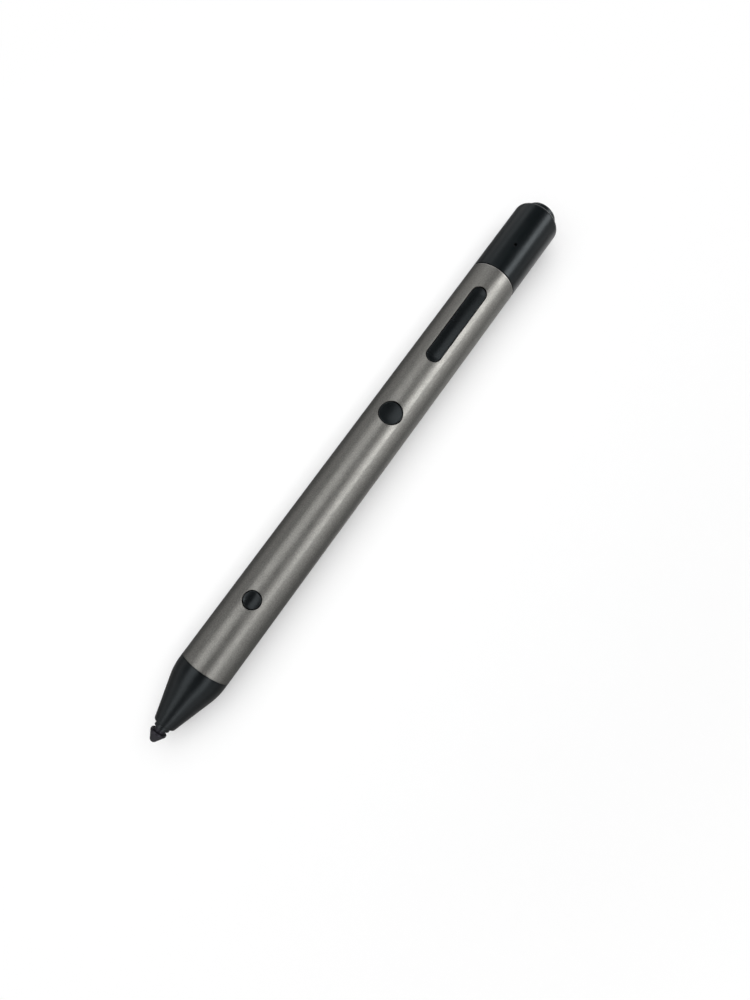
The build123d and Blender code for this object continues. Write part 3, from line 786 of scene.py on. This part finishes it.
class STYLUS_OT_tail_cap(bpy.types.Operator):
    """Finish the tail cap in satin-gloss blue-black"""

    bl_idname = "stylus.tail_cap"
    bl_label = "Tail cap"

    def execute(self, context):
        material = moulded_finish(
            "tail_gloss", context.scene.pen_colours.tail, grain=4200, rough=(0.28, 0.33),
            depth=0.25, relief=0.002 * MM, Specular_IOR_Level=0.20, Specular_Tint=COOL,
        )
        dress(material, "tail_cap")
        return {"FINISHED"}


class STYLUS_OT_light_window(bpy.types.Operator):
    """Make the light window: a smoked pin, round at its top edge, sunk in the tail cap's hole"""

    bl_idname = "stylus.light_window"
    bl_label = "Light window"

    def execute(self, context):
        radius = (window_high.x - window_low.x) / 2
        bm = bmesh.new()
        bmesh.ops.create_cone(
            bm, cap_ends=True, segments=WINDOW_STEPS, radius1=radius, radius2=radius,
            depth=window_high.z - window_low.z,
        )
        rim = [edge for edge in bm.edges if all(vert.co.z > 0 for vert in edge.verts)]
        round_edges(bm, rim, context.scene.pen_sizes.window_round, segments=4)
        bmesh.ops.translate(bm, verts=bm.verts, vec=(window_low + window_high) / 2)
        piece = finished(bm, "light_window")
        material = moulded_finish(
            "window_smoked", context.scene.pen_colours.window, grain=900, rough=(0.12, 0.18),
            depth=0.2, relief=0.0005 * MM, Specular_IOR_Level=0.3,
        )
        fit(piece, material, "tail_cap", "light_pipe")
        return {"FINISHED"}


class STYLUS_OT_tail_button(bpy.types.Operator):
    """Turn the tail button: a round-edged plunger with its flange and stem"""

    bl_idname = "stylus.tail_button"
    bl_label = "Tail button"

    def execute(self, context):
        sizes = context.scene.pen_sizes
        stem_end = button_low.x + sizes.tail_stem_length
        flange_end = stem_end + sizes.tail_flange_length
        flange_radius = (button_high.z - button_low.z) / 2
        outer_corner = (button_high.x, sizes.tail_button_radius)
        outline = [
            (button_low.x, 0),
            (button_low.x, sizes.tail_stem_radius),
            (stem_end, sizes.tail_stem_radius),
            (stem_end, flange_radius),
            (flange_end, flange_radius),
            (flange_end, sizes.tail_button_radius),
            outer_corner,
            (button_high.x, 0),
        ]
        rounds = [(outer_corner, sizes.tail_button_round, 8)]
        piece = turned("end_button", outline, rounds, closed=False)
        material = moulded_finish(
            "end_button_satin", context.scene.pen_colours.tail_button, grain=4200,
            rough=(0.32, 0.38), Specular_IOR_Level=0.28, Specular_Tint=COOL,
        )
        fit(piece, material, "tail_button", "tail_button")
        return {"FINISHED"}


class STYLUS_OT_inner_parts(bpy.types.Operator):
    """Finish the pieces inside: frame, sleeve, switches, boards, cell, cables and metal parts"""

    bl_idname = "stylus.inner_parts"
    bl_label = "Inner parts"

    def execute(self, context):
        colours = context.scene.pen_colours
        dress(
            moulded_finish("frame_grey", colours.inner_frame, grain=3000, rough=(0.42, 0.52)),
            "inner_frame", "tail_sleeve", "retaining_ring",
        )
        dress(
            moulded_finish("chip_black", colours.chip, grain=5200, rough=(0.45, 0.55)),
            "controller_chip", "lower_switch", "upper_switch", "rocker_front_switch",
            "rocker_rear_switch", "tail_switch", "charge_port_tongue",
        )
        dress(
            moulded_finish("resin_white", colours.resin, grain=4200, rough=(0.25, 0.35), depth=0.08),
            "status_led", "antenna",
        )
        dress(plated_finish("turned_brass", colours.brass), "nib_socket", "ring_electrode")
        dress(
            plated_finish("plated_steel", colours.steel),
            "pressure_sensor", "board_screws", "rocker_bracket", "rocker_pin", "radio_module",
            "cell_tabs", "charge_port_shell",
        )
        dress(
            laminate_finish("board_green", colours.board, colours.board_patch, colours.board_line),
            "main_board", "tail_board",
        )
        dress(
            film_finish("cable_amber", colours.cable, colours.cable_line),
            "sensor_ribbon", "tail_ribbon",
        )
        dress(sleeve_finish("cell_sleeve", colours.cell), "battery_cell")
        return {"FINISHED"}


# Studio


def floor_finish(tint, stage):
    """Pale floor: it keeps the pen's shadow, lightened by a share of white glow, and away from the
    pen it shows as plain white; up the wall the glow dims, as painted shade.
    """
    material = bpy.data.materials.new("studio_sweep")
    material.use_nodes = True
    nodes = material.node_tree.nodes
    nodes.clear()
    place = nodes.new("ShaderNodeTexCoord")
    distance = nodes.new("ShaderNodeVectorMath")
    distance.operation = "LENGTH"
    white = nodes.new("ShaderNodeMapRange")
    white.interpolation_type = "SMOOTHSTEP"
    white.inputs["From Min"].default_value = stage.lift_start
    white.inputs["From Max"].default_value = stage.lift_end
    white.inputs["To Min"].default_value = stage.floor_lift
    path = nodes.new("ShaderNodeLightPath")
    mirrored = nodes.new("ShaderNodeMath")
    mirrored.operation = "MAXIMUM"
    seen = nodes.new("ShaderNodeMath")
    seen.operation = "MAXIMUM"
    amount = nodes.new("ShaderNodeMath")
    amount.operation = "MULTIPLY"
    paper = nodes.new("ShaderNodeBsdfDiffuse")
    paper.inputs["Color"].default_value = (*tint, 1)
    height = nodes.new("ShaderNodeSeparateXYZ")
    # The glow dims with height: painted shade towards the top of the wall
    fade = nodes.new("ShaderNodeMapRange")
    fade.inputs["From Min"].default_value = stage.fade_start
    fade.inputs["From Max"].default_value = stage.fade_end
    fade.inputs["To Min"].default_value = 1.0
    fade.inputs["To Max"].default_value = stage.fade_level
    glow = nodes.new("ShaderNodeEmission")
    mix = nodes.new("ShaderNodeMixShader")
    out = nodes.new("ShaderNodeOutputMaterial")
    links = (
        (place.outputs["Object"], distance.inputs[0]),
        (distance.outputs["Value"], white.inputs["Value"]),
        (place.outputs["Object"], height.inputs["Vector"]),
        (height.outputs["Z"], fade.inputs["Value"]),
        (fade.outputs["Result"], glow.inputs["Strength"]),
        (path.outputs["Is Glossy Ray"], mirrored.inputs[0]),
        (path.outputs["Is Transmission Ray"], mirrored.inputs[1]),
        (path.outputs["Is Camera Ray"], seen.inputs[0]),
        (mirrored.outputs["Value"], seen.inputs[1]),
        (white.outputs["Result"], amount.inputs[0]),
        (seen.outputs["Value"], amount.inputs[1]),
        (amount.outputs["Value"], mix.inputs["Fac"]),
        (paper.outputs["BSDF"], mix.inputs[1]),
        (glow.outputs["Emission"], mix.inputs[2]),
        (mix.outputs["Shader"], out.inputs["Surface"]),
    )
    for start, end in links:
        material.node_tree.links.new(start, end)
    return material


def studio_sweep(stage, tint):
    """A round floor that slopes up into a wall on all sides."""
    corners = (
        (0, 0, 0),
        (stage.floor_radius, 0, 0),
        (stage.wall_radius, 0, stage.wall_foot),
        (stage.wall_radius, 0, stage.wall_top),
    )
    bm = bmesh.new()
    profile = [bm.verts.new(corner) for corner in corners]
    for first, second in zip(profile, profile[1:]):
        bm.edges.new((first, second))
    bmesh.ops.spin(
        bm, geom=[*bm.verts, *bm.edges], cent=(0, 0, 0), axis=(0, 0, 1), angle=2 * pi,
        steps=SWEEP_STEPS, use_merge=True,
    )
    bmesh.ops.remove_doubles(bm, verts=bm.verts, dist=SAME_PLACE)
    sweep = finished(bm, "studio_sweep")
    sweep.data.materials.append(floor_finish(tint, stage))


def reflection_shade_card(name, place, turn, stage, tint):
    """A grey card on the floor beside the pen, seen only in reflections, which it darkens: painted
    shade in the pen's reflections of the floor.
    """
    bm = bmesh.new()
    bmesh.ops.create_grid(bm, x_segments=1, y_segments=1, size=0.5)
    bmesh.ops.scale(bm, verts=bm.verts, vec=(stage.card_length, stage.card_width, 1))
    bmesh.ops.rotate(bm, verts=bm.verts, matrix=Matrix.Rotation(turn, 3, "Z"))
    middle = (stage.card_middle, place, stage.card_height)
    bmesh.ops.translate(bm, verts=bm.verts, vec=middle)
    card = finished(bm, name)
    card.data.materials.append(shade_card_finish(name, tint))
    card.visible_camera = False
    card.visible_diffuse = False
    card.visible_transmission = False
    card.visible_shadow = False


def soft_lamp(name, place, aim, size, power):
    """A soft lamp that faces a point, with its first side along the pen."""
    data = bpy.data.lights.new(name, "AREA")
    data.shape = "RECTANGLE"
    data.size, data.size_y = size
    data.energy = power
    lamp = bpy.data.objects.new(name, data)
    back = (Vector(place) - Vector(aim)).normalized()
    across = back.cross(Vector((1, 0, 0))).normalized()
    along = across.cross(back)
    turn = Matrix((along, across, back)).transposed()
    lamp.matrix_world = Matrix.Translation(place) @ turn.to_4x4()
    lamp.visible_camera = False
    bpy.context.scene.collection.objects.link(lamp)
    return lamp


def studio_lamps(stage):
    """A ceiling lamp that lights the floor, and four strips that show only as reflections."""
    ceiling = soft_lamp(
        "ceiling_lamp", place=(0, 0.11, 0.50), aim=(0, 0.11, 0), size=(1.40, 0.86),
        power=stage.ceiling_power,
    )
    ceiling.visible_glossy = False
    strips = (
        soft_lamp(
            "bright_strip", place=(0.295, -0.265, 0.300), aim=(0.295, 0, 0), size=(0.53, 0.16),
            power=stage.bright_strip_power,
        ),
        soft_lamp(
            "nose_strip", place=(-0.36, -0.280, 0.285), aim=(-0.36, 0, 0), size=(0.78, 0.16),
            power=stage.nose_strip_power,
        ),
        soft_lamp(
            "broad_strip", place=(-0.24, 0.185, 0.378), aim=(-0.24, 0, 0), size=(1.00, 0.25),
            power=stage.broad_strip_power,
        ),
        soft_lamp(
            "side_strip", place=(0.36, 0.36, 0.25), aim=(0.06, 0, 0), size=(0.22, 0.16),
            power=stage.side_strip_power,
        ),
    )
    for strip in strips:
        strip.visible_diffuse = False


def dim_room(level):
    """A dim, even grey all around."""
    world = bpy.data.worlds.new("studio_room")
    world.use_nodes = True
    background = world.node_tree.nodes["Background"]
    background.inputs["Color"].default_value = (level, level, level, 1)
    return world


def photo_camera(stage):
    """The camera that sees the pen as the photograph does."""
    data = bpy.data.cameras.new("photo_camera")
    data.sensor_fit = "VERTICAL"
    data.sensor_height = stage.camera_sensor
    data.lens = stage.camera_lens
    data.clip_start = stage.camera_near
    camera = bpy.data.objects.new("photo_camera", data)
    camera.location = stage.camera_place
    camera.rotation_euler = Euler(stage.camera_turn)
    bpy.context.scene.collection.objects.link(camera)
    return camera


class STYLUS_OT_stage(bpy.types.Operator):
    """Set the studio: a pale sweep, two grey cards that paint shade into reflections only, the
    lamps, a dim room and the camera
    """

    bl_idname = "stylus.stage"
    bl_label = "Studio"

    def execute(self, context):
        scene = context.scene
        stage = scene.pen_stage
        colours = scene.pen_colours
        studio_sweep(stage, colours.floor)
        cards = (
            ("left_shade_card", stage.left_card_place, stage.left_card_turn, colours.left_shade_card),
            ("right_shade_card", stage.right_card_place, stage.right_card_turn, colours.right_shade_card),
        )
        for name, place, turn, tint in cards:
            reflection_shade_card(name, place, turn, stage, tint)
        studio_lamps(stage)
        scene.world = dim_room(stage.sky_level)
        scene.camera = photo_camera(stage)
        scene.view_settings.view_transform = "Standard"
        return {"FINISHED"}


# Add-on


groups = {"pen_sizes": PenSizes, "pen_colours": PenColours, "pen_stage": PenStage}

operators = [
    STYLUS_OT_nib,
    STYLUS_OT_guide,
    STYLUS_OT_nose,
    STYLUS_OT_barrel,
    STYLUS_OT_keys,
    STYLUS_OT_tail_cap,
    STYLUS_OT_light_window,
    STYLUS_OT_tail_button,
    STYLUS_OT_inner_parts,
    STYLUS_OT_stage,
]


class STYLUS_PT_panel(bpy.types.Panel):
    """The pen's steps, in order"""

    bl_idname = "STYLUS_PT_panel"
    bl_label = "Stylus pen"
    bl_space_type = "VIEW_3D"
    bl_region_type = "UI"
    bl_category = "Stylus"

    def draw(self, context):
        for operator in operators:
            self.layout.operator(operator.bl_idname)


def register():
    for name, group in groups.items():
        bpy.utils.register_class(group)
        setattr(bpy.types.Scene, name, PointerProperty(type=group))
    for operator in operators:
        bpy.utils.register_class(operator)
    bpy.utils.register_class(STYLUS_PT_panel)


def unregister():
    bpy.utils.unregister_class(STYLUS_PT_panel)
    for operator in reversed(operators):
        bpy.utils.unregister_class(operator)
    for name, group in groups.items():
        delattr(bpy.types.Scene, name)
        bpy.utils.unregister_class(group)


def main():
    register()
    for operator in operators:
        family, name = operator.bl_idname.split(".")
        getattr(getattr(bpy.ops, family), name)()


if __name__ == "__main__":
    main()
